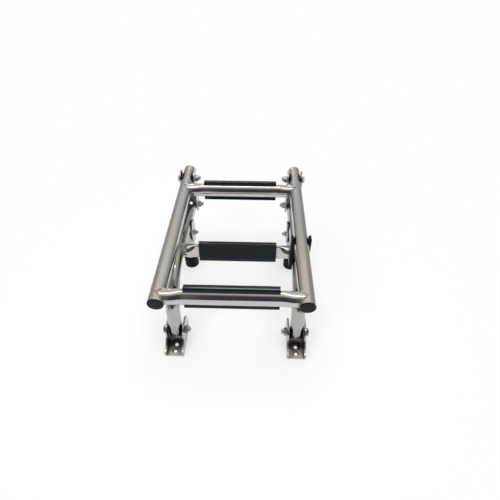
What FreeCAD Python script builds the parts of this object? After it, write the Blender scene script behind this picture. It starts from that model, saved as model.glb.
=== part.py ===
import FreeCAD, Part
import math
import os
import re

import Sketcher
from FreeCAD import Placement, Rotation, Vector

# Folding boat ladder of polished tube, folded up and standing on a level surface.
# X runs across the ladder, Y from the free rail ends to the hinge, Z up from the surface.
# The origin is on the surface, under the middle of the rails.

# Driving sizes in millimetres and degrees
SIZES = {
    "tube_diameter": 25.4,
    "tube_wall": 1.5,
    "rail_spacing": 229,
    "rail_height": 182,
    "near_rung_setback": 14.5,
    "rung_spacing": 275,
    "hinge_offset": 44,
    "hinge_setback": 28.5,
    "hinge_drop": 70,
    "arm_slope": 6.5,
    "arm_straight": 181,
    "bend_radius": 88,
    "rise_angle": 80,
    "pivot_height": 31,
    "middle_rung_distance": 170,
    "leg_distance": 83.5,
    "leg_bolt_drop": 22,
    "rung_round_end": 4.5,
    "rung_taper": 22,
    "pressed_radius": 14.6,
    "pressed_depth": 10.5,
    "flat_depth": 4.5,
    "flat_corner": 3,
    "tread_tilt": 13,
    "tread_length": 147,
    "tread_width": 38.6,
    "tread_wall": 2.7,
    "tread_lip": 4.5,
    "tread_edge": 1,
    "tread_lip_edge": 2.5,
    "rib_pitch": 4,
    "rib_gap": 1.4,
    "rib_height": 0.8,
    "fit_gap": 0.05,
    "channel_wall": 2.5,
    "side_play": 0.5,
    "seat_gap": 0.1,
    "web_clearance": 3,
    "link_back_gap": 1,
    "saddle_rise": 16,
    "saddle_reach": 6,
    "bolt_diameter": 8,
    "leg_bolt_ratio": 0.75,
    "head_flats": 13,
    "head_height": 5.3,
    "nut_flats": 13,
    "nut_hex_height": 6,
    "nut_dome_radius": 6,
    "thread_reach": 8,
    "cap_flange": 1.5,
    "cap_plug": 12,
    "cap_chamfer": 0.6,
    "foot_diameter": 31,
    "foot_height": 30,
    "foot_sole": 6,
    "foot_chamfer": 2,
    "bracket_width": 34.9,
    "bracket_wall": 3,
    "bracket_near": 40,
    "bracket_far": 28,
    "bracket_near_height": 12,
    "bracket_sweep": 28,
    "bracket_ear_radius": 14,
    "bracket_corner": 3,
    "base_hole_inset": 10,
    "base_hole_spacing": 14.3,
    "base_hole_diameter": 6.5,
    "base_sink_diameter": 11,
    "clip_wall": 4.6,
    "clip_gap": 0.35,
    "clip_length": 14,
    "clip_offset": 2,
    "clip_mouth": 18,
    "clip_lip": 9,
    "clip_lead": 2.5,
}

doc = FreeCAD.newDocument("FoldingBoatLadder")
sheet = doc.addObject("Spreadsheet::Sheet", "Sizes")
for row, (alias, number) in enumerate(SIZES.items(), start=1):
    sheet.set(f"A{row}", alias)
    sheet.set(f"B{row}", str(number))
    sheet.setAlias(f"B{row}", alias)
doc.recompute()

# Places that follow from the sizes, as expressions over the sheet
TUBE_RADIUS = "tube_diameter / 2"
BORE_RADIUS = "(tube_diameter / 2 - tube_wall)"
SIDE = "rail_spacing / 2"
RAIL_LENGTH = "(near_rung_setback + rung_spacing + hinge_offset + hinge_setback)"
NEAR_RUNG_Y = f"near_rung_setback - {RAIL_LENGTH} / 2"
FAR_RUNG_Y = f"{NEAR_RUNG_Y} + rung_spacing"
HINGE_Y = f"({RAIL_LENGTH} / 2 - hinge_setback)"
LOWER_HINGE_Z = "(rail_height - hinge_drop)"
SLOPE = "arm_slope * 1deg"
RISE = "rise_angle * 1deg"
TURN = "(arm_slope + rise_angle) * 1deg"
BEND_Y = f"({HINGE_Y} - arm_straight * cos({SLOPE}) - bend_radius * sin({SLOPE}))"
BEND_Z = f"({LOWER_HINGE_Z} + arm_straight * sin({SLOPE}) - bend_radius * cos({SLOPE}))"
LOWER_STRAIGHT = f"(({BEND_Z} + bend_radius * cos({RISE}) - pivot_height) / sin({RISE}))"
PIVOT_Y = f"({BEND_Y} - bend_radius * sin({RISE}) - {LOWER_STRAIGHT} * cos({RISE}))"
CHANNEL_HALF = f"({TUBE_RADIUS} + side_play + channel_wall)"
CHANNEL_INNER = f"({TUBE_RADIUS} + side_play)"
HOLE_RADIUS = "(bolt_diameter / 2 + fit_gap)"
LEG_HOLE_RADIUS = "(leg_bolt_ratio * bolt_diameter / 2 + fit_gap)"
PRESSED_CENTRE = "(pressed_radius - pressed_depth)"
CORNER_REACH = "(pressed_radius - flat_corner)"
CORNER_BACK = f"(flat_depth - flat_corner - {PRESSED_CENTRE})"
FLAT_HALF = f"sqrt({CORNER_REACH} ^ 2 - {CORNER_BACK} ^ 2)"


def along_arm(distance, drop="0"):
    """World Y and Z of a point this far from the lower hinge along the straight arm."""
    y = f"{HINGE_Y} - {distance} * cos({SLOPE})"
    z = f"{LOWER_HINGE_Z} + {distance} * sin({SLOPE}) - {drop}"
    return y, z


def bound(text):
    """Point the size names in an expression at the sheet."""
    return re.sub(r"[a-z_]+", lambda word: "Sizes." * (word[0] in SIZES) + word[0], text)


def value(text):
    return float(sheet.evalExpression(bound(text)))


def drive(thing, path, text):
    thing.setExpression(path, bound(text))


def place(thing, x="0", y="0", z="0", tilt="0", axis=(1, 0, 0)):
    """Put a piece at a place given by expressions, turned by an angle about an axis."""
    thing.Placement = Placement(Vector(), Rotation(Vector(*axis), value(tilt)))
    if value(tilt):
        drive(thing, "Placement.Rotation.Angle", tilt)
    for name, text in zip("xyz", (x, y, z)):
        drive(thing, f"Placement.Base.{name}", text)
    return thing


def new_body(name):
    return doc.addObject("PartDesign::Body", name)


def new_sketch(body, name, role):
    sketch = body.newObject("Sketcher::SketchObject", name)
    plane = next(item for item in body.Origin.OriginFeatures if item.Role == role)
    sketch.AttachmentSupport = [(plane, "")]
    sketch.MapMode = "FlatFace"
    return sketch


def fix_point(sketch, geometry, end, x, y):
    """Hold one sketch point at coordinates given by expressions."""
    for kind, text in (("DistanceX", x), ("DistanceY", y)):
        rule = Sketcher.Constraint(kind, -1, 1, geometry, end, value(text))
        drive(sketch, f"Constraints[{sketch.addConstraint(rule)}]", text)


def circle(sketch, x, y, radius):
    ring = Part.Circle(Vector(value(x), value(y), 0), Vector(0, 0, 1), value(radius))
    index = sketch.addGeometry(ring, False)
    fix_point(sketch, index, 3, x, y)
    rule = Sketcher.Constraint("Radius", index, value(radius))
    drive(sketch, f"Constraints[{sketch.addConstraint(rule)}]", radius)


def outline(sketch, points, arcs=None):
    """Closed outline through points; arcs maps an edge to its radius and turn, 1 left, -1 right."""
    arcs = arcs or {}
    spots = [Vector(value(x), value(y), 0) for x, y in points]
    edges = []
    for number, start in enumerate(spots):
        end = spots[(number + 1) % len(spots)]
        if number not in arcs:
            edges.append((sketch.addGeometry(Part.LineSegment(start, end), False), 1, 2))
            continue
        radius, turn = arcs[number]
        chord = end - start
        reach = math.sqrt(max(value(radius) ** 2 - chord.Length ** 2 / 4, 0))
        across = Vector(-chord.y, chord.x, 0).normalize() * reach * turn
        centre = (start + end) * 0.5 + across
        first, last = (start, end) if turn > 0 else (end, start)
        angles = [math.atan2(spot.y - centre.y, spot.x - centre.x) for spot in (first, last)]
        ring = Part.Circle(centre, Vector(0, 0, 1), value(radius))
        index = sketch.addGeometry(Part.ArcOfCircle(ring, *angles), False)
        edges.append((index, 1, 2) if turn > 0 else (index, 2, 1))
    for number, (index, start_end, stop_end) in enumerate(edges):
        follower = edges[(number + 1) % len(edges)]
        rule = Sketcher.Constraint("Coincident", index, stop_end, follower[0], follower[1])
        sketch.addConstraint(rule)
        fix_point(sketch, index, start_end, *points[number])
        if number in arcs:
            rule = Sketcher.Constraint("Radius", index, value(arcs[number][0]))
            drive(sketch, f"Constraints[{sketch.addConstraint(rule)}]", arcs[number][0])


def rectangle(sketch, left, bottom, right, top):
    outline(sketch, [(left, bottom), (right, bottom), (right, top), (left, top)])


def stadium(sketch, low, high, radius):
    """Upright slot outline with round ends centred at the heights low and high."""
    points = [
        (radius, low),
        (radius, high),
        ("0", f"{high} + {radius}"),
        (f"-({radius})", high),
        (f"-({radius})", low),
        ("0", f"{low} - {radius}"),
    ]
    outline(sketch, points, {1: (radius, 1), 2: (radius, 1), 4: (radius, 1), 5: (radius, 1)})


def pad(body, name, sketch, length):
    feature = body.newObject("PartDesign::Pad", name)
    feature.Profile = sketch
    feature.Midplane = True
    drive(feature, "Length", length)
    return feature


def pocket(body, name, sketch):
    """Cut a profile right through, both ways."""
    feature = body.newObject("PartDesign::Pocket", name)
    feature.Profile = sketch
    feature.Type = 1
    feature.Midplane = True
    return feature


def rims(shape, radius, height):
    """Names of the round edges of this radius that lie at this height."""
    names = []
    for number, edge in enumerate(shape.Edges, start=1):
        if not isinstance(edge.Curve, Part.Circle) or abs(edge.Curve.Radius - value(radius)) > 0.001:
            continue
        if abs(edge.CenterOfMass.z - value(height)) < 0.001 and edge.Length > 0.01:
            names.append(f"Edge{number}")
    return names


def revolve(body, name, sketch, axis):
    feature = body.newObject("PartDesign::Revolution", name)
    feature.Profile = sketch
    feature.ReferenceAxis = (sketch, [axis])
    feature.Angle = 360
    return feature


def round_end(sketch, y, z, heading):
    """Outline that leaves a tube end round about a bolt, heading being the way it points."""
    out = (f"cos({heading})", f"sin({heading})")
    over = (f"-sin({heading})", f"cos({heading})")

    def spot(ahead, beside):
        return tuple(
            f"{base} + ({ahead}) * {out[k]} + ({beside}) * {over[k]}"
            for k, base in enumerate((y, z))
        )

    far = f"{TUBE_RADIUS} + tube_wall"
    points = [
        spot("0", f"-({TUBE_RADIUS})"),
        spot("0", f"-({far})"),
        spot(far, f"-({far})"),
        spot(far, far),
        spot("0", far),
        spot("0", TUBE_RADIUS),
        spot(TUBE_RADIUS, "0"),
    ]
    outline(sketch, points, {5: (TUBE_RADIUS, -1), 6: (TUBE_RADIUS, -1)})


def tube_body(name, length, plane="XZ_Plane"):
    """Straight round tube centred on its own origin."""
    body = new_body(name)
    ring = new_sketch(body, f"{name}_ring", plane)
    circle(ring, "0", "0", TUBE_RADIUS)
    circle(ring, "0", "0", BORE_RADIUS)
    pad(body, f"{name}_length", ring, length)
    return body


def rail(name, side):
    body = tube_body(name, RAIL_LENGTH)
    hole = new_sketch(body, f"{name}_hole", "YZ_Plane")
    circle(hole, HINGE_Y, "0", HOLE_RADIUS)
    pocket(body, f"{name}_bolt_hole", hole)
    return place(body, x=f"{side} * {SIDE}", z="rail_height")


def arm(name, side):
    """Bent tube from the lower hinge to the base bracket, both ends rounded about their bolts."""
    body = new_body(name)
    ring = new_sketch(body, f"{name}_ring", "XZ_Plane")
    circle(ring, "0", "0", TUBE_RADIUS)
    circle(ring, "0", "0", BORE_RADIUS)
    path = new_sketch(body, f"{name}_path", "YZ_Plane")
    start = f"({TUBE_RADIUS} + arm_straight)"
    tail = f"({LOWER_STRAIGHT} + {TUBE_RADIUS})"
    corner = (f"-{start} - bend_radius * sin({TURN})", f"-bend_radius * (1 - cos({TURN}))")
    foot = (f"{corner[0]} - {tail} * cos({TURN})", f"{corner[1]} - {tail} * sin({TURN})")
    spots = [Vector(value(y), value(z), 0) for y, z in (("0", "0"), (f"-{start}", "0"), corner, foot)]
    path.addGeometry(Part.LineSegment(spots[0], spots[1]), False)
    centre = Vector(spots[1].x, -value("bend_radius"), 0)
    bend = Part.Circle(centre, Vector(0, 0, 1), value("bend_radius"))
    turn = math.radians(value("arm_slope + rise_angle"))
    path.addGeometry(Part.ArcOfCircle(bend, math.pi / 2, math.pi / 2 + turn), False)
    path.addGeometry(Part.LineSegment(spots[2], spots[3]), False)
    fix_point(path, 0, 1, "0", "0")
    fix_point(path, 0, 2, f"-{start}", "0")
    path.addConstraint(Sketcher.Constraint("Tangent", 0, 2, 1, 1))
    path.addConstraint(Sketcher.Constraint("Tangent", 1, 2, 2, 1))
    rule = Sketcher.Constraint("Radius", 1, value("bend_radius"))
    drive(path, f"Constraints[{path.addConstraint(rule)}]", "bend_radius")
    fix_point(path, 2, 2, *foot)
    doc.recompute()
    pipe = body.newObject("PartDesign::AdditivePipe", f"{name}_bend")
    pipe.Profile = ring
    pipe.Spine = (path, ["Edge1", "Edge2", "Edge3"])
    pipe.Mode = "Frenet"
    doc.recompute()
    pivot_y = f"{corner[0]} - {LOWER_STRAIGHT} * cos({TURN})"
    pivot_z = f"{corner[1]} - {LOWER_STRAIGHT} * sin({TURN})"
    ends = new_sketch(body, f"{name}_end_lines", "YZ_Plane")
    round_end(ends, f"-({TUBE_RADIUS})", "0", "0deg")
    pocket(body, f"{name}_hinge_end", ends)
    ends = new_sketch(body, f"{name}_pivot_lines", "YZ_Plane")
    round_end(ends, pivot_y, pivot_z, f"180deg + {TURN}")
    pocket(body, f"{name}_pivot_end", ends)
    holes = new_sketch(body, f"{name}_holes", "YZ_Plane")
    circle(holes, f"-({TUBE_RADIUS})", "0", HOLE_RADIUS)
    circle(holes, pivot_y, pivot_z, HOLE_RADIUS)
    pocket(body, f"{name}_bolt_holes", holes)
    y, z = along_arm(f"-({TUBE_RADIUS})")
    return place(body, f"{side} * {SIDE}", y, z, "arm_slope", (-1, 0, 0))


def pressed_wire(x, blend, inset, face):
    """Tube section from round at blend 0 to pressed flat on one face at 1, as three arcs and the flat."""
    radius = value(TUBE_RADIUS)
    pressed = value("pressed_radius")
    corner = value("flat_corner")
    centre = value(PRESSED_CENTRE)
    back = value(CORNER_BACK)
    half = value(FLAT_HALF)
    turn = math.atan2(half, back)
    shares = [half, corner * turn, pressed * (math.pi - turn)]
    angles = [math.pi * sum(shares[:k]) / sum(shares) for k in (1, 2)]
    angles = [angles[0], sum(angles) / 2, angles[1], math.pi]
    flat = [
        (value("flat_depth") - inset, half),
        (centre + back + (corner - inset) * math.cos(turn / 2), half + (corner - inset) * math.sin(turn / 2)),
        (centre + (pressed - inset) * math.cos(turn), (pressed - inset) * math.sin(turn)),
        (centre - pressed + inset, 0),
    ]
    rim = []
    for angle, (depth, up) in zip(angles, flat):
        y = (radius - inset) * math.cos(angle) * (1 - blend) + depth * blend
        z = (radius - inset) * math.sin(angle) * (1 - blend) + up * blend
        rim.append((face * y, z))
    top = [Vector(x, y, z) for y, z in rim]
    low = [Vector(x, y, -z) for y, z in rim]
    middle = Vector(x, face * ((radius - inset) * (1 - blend) + flat[0][0] * blend), 0)
    straight = blend == 1
    first = Part.LineSegment(low[0], top[0]) if straight else Part.Arc(low[0], middle, top[0])
    arcs = [Part.Arc(top[0], top[1], top[2]), Part.Arc(top[2], top[3], low[2]), Part.Arc(low[2], low[1], low[0])]
    return Part.Wire([edge.toShape() for edge in [first, *arcs]])


def rung_skin(inset, face):
    """Outside or inside of a rung: round ends, a smooth change and the pressed middle."""
    half = value(SIDE)
    round_end_x = value(f"{SIDE} - {TUBE_RADIUS} - rung_round_end")
    flat_x = round_end_x - value("rung_taper")
    steps = 6
    stretches = [[(-flat_x, 1), (flat_x, 1)]]
    for side in (-1, 1):
        change = []
        for step in range(steps + 1):
            part = step / steps
            x = round_end_x + (flat_x - round_end_x) * part
            change.append((side * x, part * part * (3 - 2 * part)))
        stretches += [[(side * half, 0), (side * round_end_x, 0)], change]
    solids = []
    for stretch in stretches:
        wires = [pressed_wire(x, blend, inset, face) for x, blend in stretch]
        solids.append(Part.makeLoft(wires, True, len(stretch) == 2))
    return solids[0].multiFuse(solids[1:])


def rung(name, y, z, face, carrier_slope):
    """Rung with its tread side pressed flat, its ends coped to the tubes that carry it."""
    piece = doc.addObject("Part::Feature", name)
    solid = rung_skin(0, face).cut(rung_skin(value("tube_wall"), face))
    reach = 4 * value("tube_diameter")
    turn = math.radians(value(f"tread_tilt - {carrier_slope}"))
    along = Vector(0, math.cos(turn), math.sin(turn))
    for side in (-1, 1):
        base = Vector(side * value(SIDE), 0, 0) - along * reach / 2
        solid = solid.cut(Part.makeCylinder(value(TUBE_RADIUS), reach, base, along))
    piece.Shape = solid
    return place(piece, y=y, z=z, tilt="tread_tilt", axis=(-1, 0, 0))


def tread(name, y, z, face):
    """Clip-on tread: ribbed on the flat side of its rung, its lips round the pressed tube's sides."""
    body = new_body(name)
    skin = new_sketch(body, f"{name}_outside", "YZ_Plane")
    half = "(tread_width / 2)"
    back = "(flat_depth + tread_wall)"
    corners = [(back, "-1", "tread_edge"), (back, "1", "tread_edge")]
    corners += [("-tread_lip", "1", "tread_lip_edge"), ("-tread_lip", "-1", "tread_lip_edge")]
    points = []
    arcs = {}
    for number, (y_edge, up, radius) in enumerate(corners):
        inward = "-" if y_edge == back else "+"
        upright = (f"{face} * ({y_edge})", f"{up} * ({half} - {radius})")
        level = (f"{face} * ({y_edge} {inward} {radius})", f"{up} * {half}")
        points += [upright, level] if number in (1, 3) else [level, upright]
        arcs[2 * number] = (radius, face)
    outline(skin, points, arcs)
    pad(body, f"{name}_length", skin, "tread_length")
    bore = new_sketch(body, f"{name}_bore", "YZ_Plane")
    reach = "(pressed_radius + fit_gap)"
    tangent_y = f"{face} * ({PRESSED_CENTRE} + {CORNER_BACK} * {reach} / {CORNER_REACH})"
    tangent_z = f"{FLAT_HALF} * {reach} / {CORNER_REACH}"
    flat_y = f"{face} * (flat_depth + fit_gap)"
    points = [
        (flat_y, f"-{FLAT_HALF}"),
        (flat_y, FLAT_HALF),
        (tangent_y, tangent_z),
        (tangent_y, f"-{tangent_z}"),
    ]
    corner = ("flat_corner + fit_gap", face)
    outline(bore, points, {1: corner, 2: (reach, face), 3: corner})
    pocket(body, f"{name}_inside", bore)
    groove = new_sketch(body, f"{name}_groove", "YZ_Plane")
    bottom = f"{face} * ({back} - rib_height)"
    low = f"{half} - 1.5 * rib_pitch"
    rectangle(groove, bottom, low, f"{face} * ({back} + rib_height)", f"{low} + rib_gap")
    cut = pocket(body, f"{name}_groove_cut", groove)
    rows = body.newObject("PartDesign::LinearPattern", f"{name}_ribs")
    rows.Originals = [cut]
    rows.Direction = (groove, ["V_Axis"])
    rows.Reversed = True
    rows.Occurrences = int(value("floor((tread_width - 2 * rib_pitch) / rib_pitch)"))
    drive(rows, "Length", f"rib_pitch * {rows.Occurrences - 1}")
    body.Tip = rows
    return place(body, y=y, z=z, tilt="tread_tilt", axis=(-1, 0, 0))


def cap(name, side, end):
    """Flat plug in a rail end, its flange as wide as the tube."""
    body = new_body(name)
    profile = new_sketch(body, f"{name}_profile", "XY_Plane")
    plug = f"({BORE_RADIUS} - fit_gap)"
    points = [
        ("0", "cap_flange"),
        ("0", "-cap_plug"),
        (plug, "-cap_plug"),
        (plug, "0"),
        (TUBE_RADIUS, "0"),
        (TUBE_RADIUS, "cap_flange - cap_chamfer"),
        (f"{TUBE_RADIUS} - cap_chamfer", "cap_flange"),
    ]
    outline(profile, points)
    revolve(body, f"{name}_turned", profile, "V_Axis")
    turn = "0" if end > 0 else "180"
    y = f"{end} * {RAIL_LENGTH} / 2"
    return place(body, f"{side} * {SIDE}", y, "rail_height", turn, (0, 0, 1))


def bolt(name, side, y, z, half_width, ratio):
    """Bolt across one side, its hexagon head outside the ladder and its end inside."""
    shank = doc.addObject("Part::Cylinder", f"{name}_shank")
    drive(shank, "Radius", f"{ratio} * bolt_diameter / 2")
    drive(shank, "Height", f"2 * {half_width} + {ratio} * thread_reach")
    head = doc.addObject("Part::Prism", f"{name}_head")
    head.Polygon = 6
    drive(head, "Circumradius", f"{ratio} * head_flats / sqrt(3)")
    drive(head, "Height", f"{ratio} * head_height")
    dome = doc.addObject("Part::Cone", f"{name}_chamfer")
    drive(dome, "Radius1", f"{ratio} * (head_flats / 2 + head_height)")
    drive(dome, "Radius2", f"{ratio} * head_flats / 2")
    drive(dome, "Height", f"{ratio} * head_height")
    trimmed = doc.addObject("Part::Common", f"{name}_trimmed")
    trimmed.Base = head
    trimmed.Tool = dome
    place(trimmed, tilt="180", axis=(1, 0, 0))
    piece = doc.addObject("Part::Fuse", name)
    piece.Base = shank
    piece.Tool = trimmed
    turn = "270" if side > 0 else "90"
    return place(piece, f"{side} * ({SIDE} + {half_width})", y, z, turn, (0, 1, 0))


def nut(name, side, y, z, half_width, ratio):
    """Domed nut on the inner end of a bolt."""
    hexagon = doc.addObject("Part::Prism", f"{name}_hexagon")
    hexagon.Polygon = 6
    drive(hexagon, "Circumradius", f"{ratio} * nut_flats / sqrt(3)")
    drive(hexagon, "Height", f"{ratio} * nut_hex_height")
    dome = doc.addObject("Part::Sphere", f"{name}_dome")
    drive(dome, "Radius", f"{ratio} * nut_dome_radius")
    dome.Angle1 = 0
    place(dome, z=f"{ratio} * nut_hex_height")
    solid = doc.addObject("Part::Fuse", f"{name}_solid")
    solid.Base = hexagon
    solid.Tool = dome
    bore = doc.addObject("Part::Cylinder", f"{name}_bore")
    drive(bore, "Radius", f"{ratio} * bolt_diameter / 2 + fit_gap")
    drive(bore, "Height", f"{ratio} * thread_reach + fit_gap")
    piece = doc.addObject("Part::Cut", name)
    piece.Base = solid
    piece.Tool = bore
    turn = "90" if side < 0 else "270"
    return place(piece, f"{side} * ({SIDE} - {half_width})", y, z, turn, (0, 1, 0))


def link(name, side):
    """Hinge link: a short channel whose ears take both hinge bolts."""
    body = new_body(name)
    ears = new_sketch(body, f"{name}_ears", "YZ_Plane")
    back = f"({TUBE_RADIUS} + link_back_gap + channel_wall)"
    points = [
        (f"-{back}", "0"),
        ("0", f"-{back}"),
        (TUBE_RADIUS, f"-{TUBE_RADIUS}"),
        (TUBE_RADIUS, f"hinge_drop + {TUBE_RADIUS}"),
        ("0", f"hinge_drop + {back}"),
        (f"-{back}", "hinge_drop"),
    ]
    outline(ears, points, {0: (back, 1), 4: (back, 1)})
    pad(body, f"{name}_block", ears, f"2 * {CHANNEL_HALF}")
    inside = new_sketch(body, f"{name}_inside", "XY_Plane")
    web = f"({TUBE_RADIUS} + link_back_gap)"
    rectangle(inside, f"-{CHANNEL_INNER}", f"-{web}", CHANNEL_INNER, f"{back} + link_back_gap")
    pocket(body, f"{name}_hollow", inside)
    gaps = new_sketch(body, f"{name}_gaps", "XZ_Plane")
    low = f"({TUBE_RADIUS} + {back} * tan({SLOPE}) + web_clearance)"
    high = f"(hinge_drop - {TUBE_RADIUS} - web_clearance)"
    rectangle(gaps, f"-{CHANNEL_INNER}", f"-2 * {back}", CHANNEL_INNER, low)
    rectangle(gaps, f"-{CHANNEL_INNER}", high, CHANNEL_INNER, f"hinge_drop + 2 * {back}")
    pocket(body, f"{name}_web", gaps)
    holes = new_sketch(body, f"{name}_holes", "YZ_Plane")
    circle(holes, "0", "0", HOLE_RADIUS)
    circle(holes, "0", "hinge_drop", HOLE_RADIUS)
    pocket(body, f"{name}_bolt_holes", holes)
    return place(body, f"{side} * {SIDE}", HINGE_Y, LOWER_HINGE_Z)


def saddle(name, side):
    """Channel under an arm that holds the top of a stand-off leg, its ears beside the arm."""
    body = new_body(name)
    ears = new_sketch(body, f"{name}_ears", "YZ_Plane")
    radius = f"({TUBE_RADIUS} + seat_gap + channel_wall)"
    stadium(ears, "-saddle_reach", "saddle_rise", radius)
    pad(body, f"{name}_block", ears, f"2 * {CHANNEL_HALF}")
    inside = new_sketch(body, f"{name}_inside", "XY_Plane")
    web = f"({TUBE_RADIUS} + seat_gap)"
    rectangle(inside, f"-{CHANNEL_INNER}", f"-{radius} - seat_gap", CHANNEL_INNER, web)
    pocket(body, f"{name}_hollow", inside)
    gap = new_sketch(body, f"{name}_gap", "XZ_Plane")
    low = f"(leg_bolt_drop - {TUBE_RADIUS} - {radius} * tan({SLOPE}) - web_clearance)"
    rectangle(gap, f"-{CHANNEL_INNER}", low, CHANNEL_INNER, f"saddle_rise + 2 * {radius}")
    pocket(body, f"{name}_web", gap)
    hole = new_sketch(body, f"{name}_hole", "YZ_Plane")
    circle(hole, "0", "0", LEG_HOLE_RADIUS)
    pocket(body, f"{name}_bolt_hole", hole)
    y, z = along_arm("leg_distance", "leg_bolt_drop")
    return place(body, f"{side} * {SIDE}", y, z)


def leg(name, side):
    """Upright stand-off tube, coped to the underside of its arm."""
    y, bolt_z = along_arm("leg_distance", "leg_bolt_drop")
    height = f"({bolt_z} + leg_bolt_drop - foot_sole)"
    body = tube_body(f"{name}_tube", height, "XY_Plane")
    hole = new_sketch(body, f"{name}_hole", "YZ_Plane")
    circle(hole, "0", f"{height} / 2 - leg_bolt_drop", LEG_HOLE_RADIUS)
    pocket(body, f"{name}_bolt_hole", hole)
    place(body, z=f"foot_sole + {height} / 2")
    cope = doc.addObject("Part::Cylinder", f"{name}_cope")
    drive(cope, "Radius", f"{TUBE_RADIUS} + seat_gap")
    drive(cope, "Height", "4 * tube_diameter")
    place(
        cope,
        y=f"-2 * tube_diameter * cos({SLOPE})",
        z=f"foot_sole + {height} + 2 * tube_diameter * sin({SLOPE})",
        tilt="90 + arm_slope",
        axis=(-1, 0, 0),
    )
    piece = doc.addObject("Part::Cut", name)
    piece.Base = body
    piece.Tool = cope
    return place(piece, f"{side} * {SIDE}", y)


def foot(name, side):
    """Rubber cup on a leg end, turned with a thick sole."""
    body = new_body(name)
    profile = new_sketch(body, f"{name}_profile", "XZ_Plane")
    points = [
        ("0", "0"),
        ("foot_diameter / 2 - foot_chamfer", "0"),
        ("foot_diameter / 2", "foot_chamfer"),
        ("foot_diameter / 2", "foot_height - foot_chamfer"),
        ("foot_diameter / 2 - foot_chamfer / 2", "foot_height"),
        (f"{TUBE_RADIUS} + fit_gap", "foot_height"),
        (f"{TUBE_RADIUS} + fit_gap", "foot_sole"),
        ("0", "foot_sole"),
    ]
    outline(profile, points)
    revolve(body, f"{name}_turned", profile, "V_Axis")
    y = along_arm("leg_distance")[0]
    return place(body, f"{side} * {SIDE}", y)


def bracket(name, side):
    """Base channel, open upwards, whose ears hold the arm on its pivot bolt."""
    body = new_body(name)
    ears = new_sketch(body, f"{name}_ears", "YZ_Plane")
    top = "(pivot_height + bracket_ear_radius)"
    points = [
        ("bracket_corner - bracket_near", "0"),
        ("bracket_far", "0"),
        ("bracket_far", "pivot_height"),
        ("bracket_far - bracket_ear_radius", top),
        ("0", top),
        ("-bracket_ear_radius", "pivot_height"),
        ("-bracket_near", "bracket_near_height"),
        ("-bracket_near", "bracket_corner"),
    ]
    ear = ("bracket_ear_radius", 1)
    outline(ears, points, {2: ear, 4: ear, 5: ("bracket_sweep", -1), 7: ("bracket_corner", 1)})
    pad(body, f"{name}_block", ears, "bracket_width")
    inside = new_sketch(body, f"{name}_inside", "XZ_Plane")
    half = "(bracket_width / 2 - bracket_wall)"
    rectangle(inside, f"-{half}", "bracket_wall", half, f"{top} + bracket_wall")
    pocket(body, f"{name}_hollow", inside)
    hole = new_sketch(body, f"{name}_hole", "YZ_Plane")
    circle(hole, "0", "pivot_height", HOLE_RADIUS)
    pocket(body, f"{name}_pivot_hole", hole)
    screws = new_sketch(body, f"{name}_screws", "XY_Plane")
    first = "(base_hole_inset - bracket_near)"
    circle(screws, "0", first, "base_hole_diameter / 2")
    circle(screws, "0", f"{first} + base_hole_spacing", "base_hole_diameter / 2")
    cut = pocket(body, f"{name}_screw_holes", screws)
    doc.recompute()
    sinks = body.newObject("PartDesign::Chamfer", f"{name}_countersinks")
    sinks.Base = (cut, rims(cut.Shape, "base_hole_diameter / 2", "bracket_wall"))
    drive(sinks, "Size", "(base_sink_diameter - base_hole_diameter) / 2")
    body.Tip = sinks
    return place(body, f"{side} * {SIDE}", PIVOT_Y)


def clip(name):
    """Snap clip on the right side that keeps the rail folded against the arm."""
    inner = f"{TUBE_RADIUS} + clip_gap"
    arm_z = f"({BEND_Z} + bend_radius)"
    top = "(rail_height + clip_lip)"
    low = f"({arm_z} - clip_lip)"

    def round_bar(label, radius, z):
        bar = doc.addObject("Part::Cylinder", f"{name}_{label}")
        drive(bar, "Radius", radius)
        drive(bar, "Height", "clip_length")
        return place(bar, y="clip_length / 2", z=z, tilt="90", axis=(1, 0, 0))

    def block(label, width, low, high):
        box = doc.addObject("Part::Box", f"{name}_{label}")
        drive(box, "Length", width)
        drive(box, "Width", "clip_length")
        drive(box, "Height", f"({high}) - ({low})")
        return place(box, x=f"-({width}) / 2", y="-clip_length / 2", z=low)

    lead = doc.addObject("Part::Prism", f"{name}_lead")
    lead.Polygon = 4
    drive(lead, "Circumradius", "tube_diameter")
    drive(lead, "Height", "clip_length")
    lead_z = f"{top} + tube_diameter - ({inner}) - clip_lead"
    place(lead, y="clip_length / 2", z=lead_z, tilt="90", axis=(1, 0, 0))
    grips = block("body", f"2 * ({inner} + clip_wall)", low, top)
    spaces = doc.addObject("Part::MultiFuse", f"{name}_spaces")
    spaces.Shapes = [
        round_bar("rail_space", inner, "rail_height"),
        round_bar("arm_space", inner, arm_z),
        block("rail_way", f"2 * ({inner})", "rail_height", f"{top} + clip_wall"),
        block("arm_way", "clip_mouth", f"{low} - clip_wall", arm_z),
        lead,
    ]
    piece = doc.addObject("Part::Cut", name)
    piece.Base = grips
    piece.Tool = spaces
    return place(piece, SIDE, f"({BEND_Y} - clip_offset)")


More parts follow.
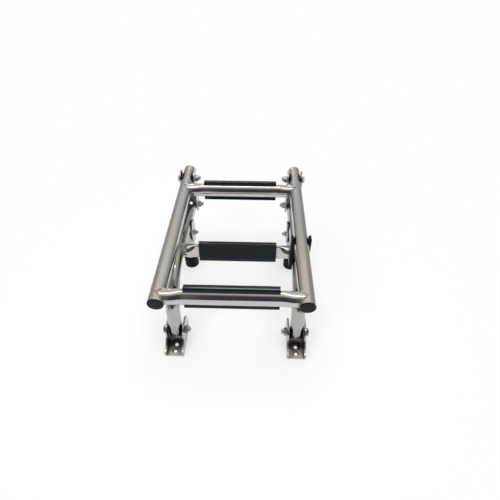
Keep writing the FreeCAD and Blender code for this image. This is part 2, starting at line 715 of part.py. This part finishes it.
pieces = []
ARM_RUNG = along_arm("middle_rung_distance")
LEG_BOLT = along_arm("leg_distance", "leg_bolt_drop")
BOLTS = {
    "rail": (HINGE_Y, "rail_height", CHANNEL_HALF, "1"),
    "arm": (HINGE_Y, LOWER_HINGE_Z, CHANNEL_HALF, "1"),
    "leg": (*LEG_BOLT, CHANNEL_HALF, "leg_bolt_ratio"),
    "bracket": (PIVOT_Y, "pivot_height", "(bracket_width / 2)", "1"),
}
for side, word in ((-1, "left"), (1, "right")):
    pieces.append(rail(f"rail_{word}", side))
    pieces.append(arm(f"arm_{word}", side))
    pieces.append(link(f"hinge_link_{word}", side))
    pieces.append(saddle(f"leg_saddle_{word}", side))
    pieces.append(leg(f"leg_{word}", side))
    pieces.append(foot(f"foot_{word}", side))
    pieces.append(bracket(f"bracket_{word}", side))
    for end, place_word in ((-1, "near"), (1, "far")):
        pieces.append(cap(f"{place_word}_cap_{word}", side, end))
    for use, spot in BOLTS.items():
        pieces.append(bolt(f"{use}_bolt_{word}", side, *spot))
        pieces.append(nut(f"{use}_nut_{word}", side, *spot))
RUNGS = {
    "near": (NEAR_RUNG_Y, "rail_height", 1, "0"),
    "far": (FAR_RUNG_Y, "rail_height", 1, "0"),
    "middle": (*ARM_RUNG, -1, "arm_slope"),
}
for word, spot in RUNGS.items():
    pieces.append(rung(f"{word}_rung", *spot))
    pieces.append(tread(f"{word}_tread", *spot[:3]))
pieces.append(clip("rail_clip"))

doc.recompute()
for item in doc.Objects:
    if "Invalid" in item.State or "Error" in item.State:
        raise RuntimeError(f"{item.Name} is {item.State}")
os.makedirs("parts", exist_ok=True)
for piece in pieces:
    piece.Label = piece.Name
    shape = piece.Shape
    if shape.isNull() or not shape.isValid() or len(shape.Solids) != 1:
        raise RuntimeError(f"{piece.Label} is not one valid solid")
    shape.exportStep(f"parts/{piece.Label}.step")
print(len(pieces), "pieces written")
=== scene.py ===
import math

import bmesh
import bpy
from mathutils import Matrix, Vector


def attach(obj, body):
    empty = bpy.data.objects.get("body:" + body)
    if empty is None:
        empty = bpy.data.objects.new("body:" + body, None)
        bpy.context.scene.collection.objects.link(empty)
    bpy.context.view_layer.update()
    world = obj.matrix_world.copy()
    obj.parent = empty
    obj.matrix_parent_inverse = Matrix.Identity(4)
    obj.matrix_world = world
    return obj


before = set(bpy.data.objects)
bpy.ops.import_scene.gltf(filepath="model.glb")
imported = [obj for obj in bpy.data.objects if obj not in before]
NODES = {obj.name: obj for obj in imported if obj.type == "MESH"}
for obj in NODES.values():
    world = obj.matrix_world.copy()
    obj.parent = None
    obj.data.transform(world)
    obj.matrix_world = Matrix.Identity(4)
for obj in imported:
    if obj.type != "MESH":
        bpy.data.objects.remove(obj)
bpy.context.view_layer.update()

# The camera that was fitted to the photograph: place in metres, angles in degrees
CAMERA_PLACE = (0.0367, -0.4944, 0.6192)
CAMERA_PITCH = 45.37
CAMERA_YAW = 1.56
CAMERA_LENS_MM = 25.6
SENSOR_MM = 36.0


# ---- Materials ----

def new_material(name):
    material = bpy.data.materials.new(name)
    material.use_nodes = True
    nodes = material.node_tree.nodes
    return material, nodes, material.node_tree.links, nodes["Principled BSDF"]


def maths(nodes, operation):
    node = nodes.new("ShaderNodeMath")
    node.operation = operation
    return node


def noise(nodes, links, scale, stretch=(1, 1, 1), detail=3.0):
    """Noise over the object's own coordinates, stretched along its axes."""
    coordinates = nodes.new("ShaderNodeTexCoord")
    mapping = nodes.new("ShaderNodeMapping")
    mapping.inputs["Scale"].default_value = stretch
    texture = nodes.new("ShaderNodeTexNoise")
    texture.inputs["Scale"].default_value = scale
    texture.inputs["Detail"].default_value = detail
    links.new(coordinates.outputs["Object"], mapping.inputs["Vector"])
    links.new(mapping.outputs["Vector"], texture.inputs["Vector"])
    return texture.outputs["Fac"]


def ramp(nodes, links, factor, low, high, start=0.3, stop=0.7):
    """Colour or grey that goes from low to high as the factor goes from start to stop."""
    band = nodes.new("ShaderNodeValToRGB")
    band.color_ramp.elements[0].position = start
    band.color_ramp.elements[1].position = stop
    for element, shade in zip(band.color_ramp.elements, (low, high)):
        element.color = (shade,) * 3 + (1,) if isinstance(shade, float) else (*shade, 1)
    links.new(factor, band.inputs["Fac"])
    return band.outputs["Color"]


def bump(nodes, links, shader, height, distance, strength=1.0):
    relief = nodes.new("ShaderNodeBump")
    relief.inputs["Strength"].default_value = strength
    relief.inputs["Distance"].default_value = distance
    links.new(height, relief.inputs["Height"])
    links.new(relief.outputs["Normal"], shader.inputs["Normal"])


# How far off, in metres, a nearby surface still darkens the steel: painted shade from an ambient-occlusion
# node
PAINTED_SHADE_REACH = 0.022
RUNG_PAINTED_SHADE_REACH = 0.005
CHANNEL_PAINTED_SHADE_REACH = 0.032
PAINTED_SHADE_SAMPLES = 8
# Noise of the finishes, its stretch along the drawing direction and the relief of the drawn lines
LINE_SCALE = 900.0
LINE_STRETCH = 0.02
LINE_DEPTH = 0.00002
LINE_STRENGTH = 0.25
SMUDGE_SCALE = 30.0
SMUDGE_STRETCH = 0.12
CLOUD_SCALE = 60.0


def steel(name, along, low, high, rough, shade_reach=PAINTED_SHADE_REACH):
    """Polished stainless steel with faint drawing lines along one axis, soft smudges and painted shade where
    other surfaces come near.
    """
    material, nodes, links, shader = new_material(name)
    shader.inputs["Metallic"].default_value = 1.0
    stretch = [1.0, 1.0, 1.0]
    stretch[along] = LINE_STRETCH
    soft = [1.0, 1.0, 1.0]
    soft[along] = SMUDGE_STRETCH
    smudge = noise(nodes, links, SMUDGE_SCALE, soft, detail=2.0)
    lines = noise(nodes, links, LINE_SCALE, stretch)
    # Painted shade: the ambient-occlusion node darkens the base colour where other surfaces come near
    painted_shade = nodes.new("ShaderNodeAmbientOcclusion")
    painted_shade.samples = PAINTED_SHADE_SAMPLES
    painted_shade.inputs["Distance"].default_value = shade_reach
    links.new(ramp(nodes, links, smudge, low, high), painted_shade.inputs["Color"])
    links.new(painted_shade.outputs["Color"], shader.inputs["Base Color"])
    links.new(ramp(nodes, links, smudge, rough * 0.85, rough * 1.2), shader.inputs["Roughness"])
    bump(nodes, links, shader, lines, LINE_DEPTH, LINE_STRENGTH)
    return material


def moulding(name, low, high, rough, grain, depth, sheen):
    """Dark rubber or plastic with a fine moulded grain and slightly uneven sheen."""
    material, nodes, links, shader = new_material(name)
    cloud = noise(nodes, links, CLOUD_SCALE, detail=2.0)
    skin = noise(nodes, links, grain, detail=2.0)
    links.new(ramp(nodes, links, cloud, low, high), shader.inputs["Base Color"])
    links.new(ramp(nodes, links, skin, rough * 0.85, rough * 1.15), shader.inputs["Roughness"])
    bump(nodes, links, shader, skin, depth, 0.5)
    shader.inputs["Specular IOR Level"].default_value = sheen
    return material


WARM_LOW = (0.50, 0.487, 0.470)
WARM_HIGH = (0.57, 0.557, 0.540)
# Painted shade: the arms get a darker copy of the same steel, so their tubes look darker than the rails
ARM_PAINTED_SHADE_LOW = (0.37, 0.362, 0.350)
ARM_PAINTED_SHADE_HIGH = (0.47, 0.459, 0.445)

tube_lengthwise = steel("polished_tube_lengthwise", 1, WARM_LOW, WARM_HIGH, 0.20)
tube_arm = steel("polished_tube_arm", 1, ARM_PAINTED_SHADE_LOW, ARM_PAINTED_SHADE_HIGH, 0.10)
tube_across = steel("polished_tube_across", 0, WARM_LOW, WARM_HIGH, 0.13, RUNG_PAINTED_SHADE_REACH)
tube_upright = steel("polished_tube_upright", 2, WARM_LOW, WARM_HIGH, 0.18)
channel = steel("pressed_channel", 1, WARM_LOW, WARM_HIGH, 0.22, CHANNEL_PAINTED_SHADE_REACH)
fastener = steel("turned_fastener", 0, WARM_LOW, WARM_HIGH, 0.15)

TREAD_LOW = (0.0006, 0.003, 0.007)
TREAD_HIGH = (0.0016, 0.006, 0.012)
TREAD_ROUGH = (0.13, 0.18)
TREAD_GRAIN = 900.0
TREAD_SHEEN = 0.27
TREAD_TILT = 13.0
# Degrees that each tread falls backwards, and the Y across it ahead of which it curves down forwards
BACK_SLOPES = {"near": (10.2, 0.0008), "far": (0.2, -0.0008), "middle": (5.2, -0.0022)}
# Radius of that forward curve
LIP_CURVE = 0.018
# Y and Z of the rung inside each tread
TREAD_CENTRES = {"near": (-0.1665, 0.182), "far": (0.1085, 0.182), "middle": (-0.0164, 0.13124)}


def tread_finish(word):
    """Black moulding that falls backwards and, past a line across it, curves down forwards, as bump only."""
    material, nodes, links, shader = new_material(f"tread_moulding_{word}")
    cloud = noise(nodes, links, CLOUD_SCALE, detail=2.0)
    skin = noise(nodes, links, TREAD_GRAIN, detail=2.0)
    links.new(ramp(nodes, links, cloud, TREAD_LOW, TREAD_HIGH), shader.inputs["Base Color"])
    links.new(ramp(nodes, links, skin, *TREAD_ROUGH), shader.inputs["Roughness"])
    spread = nodes.new("ShaderNodeTexCoord")
    turned = nodes.new("ShaderNodeMapping")
    turned.vector_type = "TEXTURE"
    turned.inputs["Location"].default_value = (0, *TREAD_CENTRES[word])
    turned.inputs["Rotation"].default_value = (math.radians(-TREAD_TILT), 0, 0)
    split = nodes.new("ShaderNodeSeparateXYZ")
    degrees, start = BACK_SLOPES[word]
    ahead = maths(nodes, "SUBTRACT")
    ahead.use_clamp = True
    ahead.inputs[0].default_value = start
    square = maths(nodes, "POWER")
    square.inputs[1].default_value = 2.0
    fall = maths(nodes, "MULTIPLY")
    fall.inputs[1].default_value = -0.5 / LIP_CURVE
    height = maths(nodes, "MULTIPLY_ADD")
    height.inputs[1].default_value = -math.tan(math.radians(degrees))
    links.new(spread.outputs["Object"], turned.inputs["Vector"])
    links.new(turned.outputs["Vector"], split.inputs[0])
    links.new(split.outputs["Y"], ahead.inputs[1])
    links.new(ahead.outputs[0], square.inputs[0])
    links.new(square.outputs[0], fall.inputs[0])
    links.new(split.outputs["Y"], height.inputs[0])
    links.new(fall.outputs[0], height.inputs[2])
    bump(nodes, links, shader, height.outputs[0], 1.0)
    shader.inputs["Specular IOR Level"].default_value = TREAD_SHEEN
    return material


CAP_LOW = (0.0015, 0.0025, 0.005)
CAP_HIGH = (0.003, 0.005, 0.009)
FOOT_LOW = (0.0015, 0.002, 0.0025)
FOOT_HIGH = (0.008, 0.008, 0.010)
cap_black = moulding("cap_moulding", CAP_LOW, CAP_HIGH, 0.38, 1200.0, 0.00003, 0.13)
foot_black = moulding("foot_moulding", FOOT_LOW, FOOT_HIGH, 0.50, 700.0, 0.00005, 0.10)

FINISHES = (
    ("near_tread", tread_finish("near")),
    ("far_tread", tread_finish("far")),
    ("middle_tread", tread_finish("middle")),
    ("cap", cap_black),
    ("clip", cap_black),
    ("foot", foot_black),
    ("bolt", fastener),
    ("nut", fastener),
    ("rung", tube_across),
    ("leg_saddle", channel),
    ("leg", tube_upright),
    ("hinge_link", channel),
    ("bracket", channel),
    ("rail", tube_lengthwise),
    ("arm", tube_arm),
)


def finish_for(name):
    return next(material for word, material in FINISHES if word in name)


for name, node in NODES.items():
    node.data.materials.clear()
    node.data.materials.append(finish_for(name))


# ---- Weld beads where the rungs meet their tubes ----

TUBE_RADIUS = 0.0127
HALF_SPACING = 0.1145
ARM_SLOPE = 6.5
BEAD_RADIUS = 0.0011
BEAD_STEPS = 168
BEAD_SIDES = 8
RIPPLES = 42
RIPPLE_SHARE = 0.16
TURN_STEP = 0.01


def weld(name, side, centre, slope, body):
    """Rippled bead along the line where a rung's end meets a tube of the same diameter."""
    along = Vector((0, math.cos(slope), -math.sin(slope)))
    up = Vector((0, math.sin(slope), math.cos(slope)))
    middle = Vector((0, *centre))

    def spot(turn):
        inward = TUBE_RADIUS * abs(math.cos(turn))
        over = TUBE_RADIUS * (math.cos(turn) * along + math.sin(turn) * up)
        return middle + over + Vector((side * (HALF_SPACING - inward), 0, 0))

    build = bmesh.new()
    rings = []
    for step in range(BEAD_STEPS):
        turn = math.tau * (step + 0.5) / BEAD_STEPS
        place = spot(turn)
        ahead = (spot(turn + TURN_STEP) - spot(turn - TURN_STEP)).normalized()
        outward = (place - middle - Vector((side * HALF_SPACING, 0, 0))).normalized()
        beside = ahead.cross(outward).normalized()
        outward = beside.cross(ahead)
        radius = BEAD_RADIUS * (1 + RIPPLE_SHARE * math.sin(RIPPLES * turn))
        ring = []
        for corner in range(BEAD_SIDES):
            angle = math.tau * corner / BEAD_SIDES
            direction = math.cos(angle) * outward + math.sin(angle) * beside
            ring.append(build.verts.new(place + radius * direction))
        rings.append(ring)
    for step, ring in enumerate(rings):
        following = rings[(step + 1) % BEAD_STEPS]
        for corner in range(BEAD_SIDES):
            after = (corner + 1) % BEAD_SIDES
            build.faces.new((ring[corner], ring[after], following[after], following[corner]))
    bmesh.ops.recalc_face_normals(build, faces=build.faces)
    mesh = bpy.data.meshes.new(name)
    build.to_mesh(mesh)
    build.free()
    for face in mesh.polygons:
        face.use_smooth = True
    mesh.materials.append(bead_steel)
    piece = bpy.data.objects.new(name, mesh)
    bpy.context.scene.collection.objects.link(piece)
    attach(piece, body)


BEAD_LOW = (0.40, 0.39, 0.375)
BEAD_HIGH = (0.55, 0.535, 0.515)
bead_steel = steel("weld_bead", 0, BEAD_LOW, BEAD_HIGH, 0.26)
for word, centre in TREAD_CENTRES.items():
    body = "upper_section" if word == "middle" else "lower_section"
    slope = math.radians(ARM_SLOPE) if word == "middle" else 0.0
    for side, hand in ((-1, "left"), (1, "right")):
        weld(f"weld_{word}_{hand}", side, centre, slope, body)


# ---- Studio ----

# Share of a half turn at which the curved cards start, just above the horizon
CARD_START = 0.01
CARD_CLEARANCE = 0.003


def card(name, rows, bands, strength=1.0):
    """Studio card that shows only in reflections; its colour changes from its first row to its last."""
    corners = [corner for row in rows for corner in row]
    faces = [(2 * k, 2 * k + 1, 2 * k + 3, 2 * k + 2) for k in range(len(rows) - 1)]
    mesh = bpy.data.meshes.new(name)
    mesh.from_pydata(corners, [], faces)
    layer = mesh.uv_layers.new(name="card")
    for loop, corner in zip(mesh.loops, layer.data):
        corner.uv = (loop.vertex_index % 2, loop.vertex_index // 2 / (len(rows) - 1))
    panel = bpy.data.objects.new(name, mesh)
    bpy.context.scene.collection.objects.link(panel)
    material = bpy.data.materials.new(name)
    material.use_nodes = True
    nodes = material.node_tree.nodes
    links = material.node_tree.links
    nodes.clear()
    spread = nodes.new("ShaderNodeTexCoord")
    split = nodes.new("ShaderNodeSeparateXYZ")
    scale = nodes.new("ShaderNodeValToRGB")
    while len(scale.color_ramp.elements) < len(bands):
        scale.color_ramp.elements.new(0.5)
    for element, (height, colour) in zip(scale.color_ramp.elements, bands):
        element.position = height
        element.color = (*colour, 1)
    glow = nodes.new("ShaderNodeEmission")
    glow.inputs["Strength"].default_value = strength
    output = nodes.new("ShaderNodeOutputMaterial")
    links.new(spread.outputs["UV"], split.inputs[0])
    links.new(split.outputs["Y"], scale.inputs["Fac"])
    links.new(scale.outputs["Color"], glow.inputs["Color"])
    links.new(glow.outputs["Emission"], output.inputs["Surface"])
    mesh.materials.append(material)
    panel.visible_camera = False
    panel.visible_diffuse = False
    panel.visible_shadow = False


def sweep(left, right, radius, stop, steps=36):
    """Rows of a curved card from the front horizon upwards, and over the top where stop is past 0.5."""
    rows = []
    for step in range(steps + 1):
        turn = math.pi * (CARD_START + (stop - CARD_START) * step / steps)
        y, z = -radius * math.cos(turn), radius * math.sin(turn)
        rows.append(((left, y, z), (right, y, z)))
    return rows


def flag(x, near, far, height):
    return [((x, near, level), (x, far, level)) for level in (CARD_CLEARANCE, height)]


def warm(level):
    return (level, level * 0.95, level * 0.90)


DEEP_NAVY = (0.040, 0.048, 0.072)
NAVY = (0.060, 0.069, 0.098)
card("card_sweep", sweep(-3.0, 3.0, 3.0, 0.99), (
    (0.0, warm(0.15)), (0.31, warm(0.19)), (0.35, warm(0.36)), (0.39, warm(0.85)), (0.50, warm(1.0)),
    (0.57, warm(0.75)), (0.68, warm(0.98)), (0.76, warm(0.74)), (0.88, warm(0.58)), (1.0, warm(0.45)),
))
card("card_dark", sweep(-0.50, 0.38, 2.9, 0.31), ((0.0, DEEP_NAVY), (0.78, NAVY), (1.0, warm(0.13))))
SIDE_BANDS = ((0.0, warm(0.40)), (0.5, warm(0.46)), (1.0, warm(0.66)))
for hand, place in (("left", -0.42), ("right", 0.42)):
    card(f"card_{hand}", flag(place, -0.6, 0.9, 0.60), SIDE_BANDS)
WHITE = ((0.0, (1.0, 1.0, 1.0)), (1.0, (1.0, 1.0, 1.0)))
BACK_GLOW = 12.0
TOP_GLOW = 6.0
back_lamp = [((-0.46, 1.9, z), (0.26, 1.9, z)) for z in (0.72, 1.00)]
top_lamp = [((-0.9, y, 2.5), (0.9, y, 2.5)) for y in (0.12, 0.36)]
card("card_lamp_back", back_lamp, WHITE, BACK_GLOW)
card("card_lamp_top", top_lamp, WHITE, TOP_GLOW)


def area_light(name, place, target, size, power):
    lamp = bpy.data.lights.new(name, "AREA")
    lamp.shape = "SQUARE"
    lamp.size = size
    lamp.energy = power
    holder = bpy.data.objects.new(name, lamp)
    holder.location = place
    holder.rotation_euler = (Vector(target) - Vector(place)).to_track_quat("-Z", "Y").to_euler()
    holder.visible_glossy = False
    bpy.context.scene.collection.objects.link(holder)


LIT_POINT = (0, 0, 0.1)
TOP_POWER = 22.0
FRONT_POWER = 9.0
area_light("top_softbox", (0.1, 0.1, 1.9), LIT_POINT, 1.3, TOP_POWER)
area_light("front_softbox", (-1.1, -1.3, 1.4), LIT_POINT, 0.9, FRONT_POWER)


def rays_that_show(nodes, links):
    """1 for camera, glossy and transmission rays, which see the white background as it is."""
    path = nodes.new("ShaderNodeLightPath")
    seen = maths(nodes, "MAXIMUM")
    shown = maths(nodes, "MAXIMUM")
    links.new(path.outputs["Is Camera Ray"], seen.inputs[0])
    links.new(path.outputs["Is Glossy Ray"], seen.inputs[1])
    links.new(seen.outputs[0], shown.inputs[0])
    links.new(path.outputs["Is Transmission Ray"], shown.inputs[1])
    return shown.outputs[0]


WORLD_FILL = 0.55
BACKDROP_WHITE = 1.0
FLOOR_WHITE = 0.9
FLOOR_ROUGH = 0.9
FLOOR_SHEEN = 0.1
FLOOR_REACH = 12.0
FLOOR_DROP = 0.0002
# The floor turns into the plain white backdrop between these distances from the object's middle
FADE_START = 0.22
FADE_STOP = 0.60
FADE_LEAST = 0.5

world = bpy.data.worlds.new("studio")
bpy.context.scene.world = world
world.use_nodes = True
nodes = world.node_tree.nodes
links = world.node_tree.links
nodes.clear()
shown = rays_that_show(nodes, links)
fill = nodes.new("ShaderNodeBackground")
fill.inputs["Color"].default_value = (1, 1, 1, 1)
fill.inputs["Strength"].default_value = WORLD_FILL
white = nodes.new("ShaderNodeBackground")
white.inputs["Color"].default_value = (1, 1, 1, 1)
white.inputs["Strength"].default_value = BACKDROP_WHITE
blend = nodes.new("ShaderNodeMixShader")
output = nodes.new("ShaderNodeOutputWorld")
links.new(shown, blend.inputs["Fac"])
links.new(fill.outputs[0], blend.inputs[1])
links.new(white.outputs[0], blend.inputs[2])
links.new(blend.outputs[0], output.inputs["Surface"])

floor_mesh = bpy.data.meshes.new("floor")
floor_corners = [(x * FLOOR_REACH, y * FLOOR_REACH, 0) for x, y in ((-1, -1), (1, -1), (1, 1), (-1, 1))]
floor_mesh.from_pydata(floor_corners, [], [(0, 1, 2, 3)])
floor = bpy.data.objects.new("floor", floor_mesh)
floor.location.z = -FLOOR_DROP
bpy.context.scene.collection.objects.link(floor)
floor_white, nodes, links, shader = new_material("floor_white")
shader.inputs["Base Color"].default_value = (FLOOR_WHITE, FLOOR_WHITE, FLOOR_WHITE, 1)
shader.inputs["Roughness"].default_value = FLOOR_ROUGH
shader.inputs["Specular IOR Level"].default_value = FLOOR_SHEEN
shown = rays_that_show(nodes, links)
spot = nodes.new("ShaderNodeNewGeometry")
away = nodes.new("ShaderNodeVectorMath")
away.operation = "LENGTH"
fade = nodes.new("ShaderNodeMapRange")
fade.interpolation_type = "SMOOTHSTEP"
fade.inputs["From Min"].default_value = FADE_START
fade.inputs["From Max"].default_value = FADE_STOP
fade.inputs["To Min"].default_value = FADE_LEAST
amount = maths(nodes, "MULTIPLY")
backdrop = nodes.new("ShaderNodeEmission")
blend = nodes.new("ShaderNodeMixShader")
links.new(spot.outputs["Position"], away.inputs[0])
links.new(away.outputs["Value"], fade.inputs["Value"])
links.new(fade.outputs["Result"], amount.inputs[0])
links.new(shown, amount.inputs[1])
links.new(amount.outputs[0], blend.inputs["Fac"])
links.new(shader.outputs["BSDF"], blend.inputs[1])
links.new(backdrop.outputs["Emission"], blend.inputs[2])
links.new(blend.outputs[0], nodes["Material Output"].inputs["Surface"])
floor_mesh.materials.append(floor_white)

camera_data = bpy.data.cameras.new("camera")
camera_data.lens = CAMERA_LENS_MM
camera_data.sensor_width = SENSOR_MM
camera = bpy.data.objects.new("camera", camera_data)
camera.location = CAMERA_PLACE
camera.rotation_euler = (math.radians(90 - CAMERA_PITCH), 0, math.radians(CAMERA_YAW))
bpy.context.scene.collection.objects.link(camera)
bpy.context.scene.camera = camera
bpy.context.scene.view_settings.view_transform = "Standard"
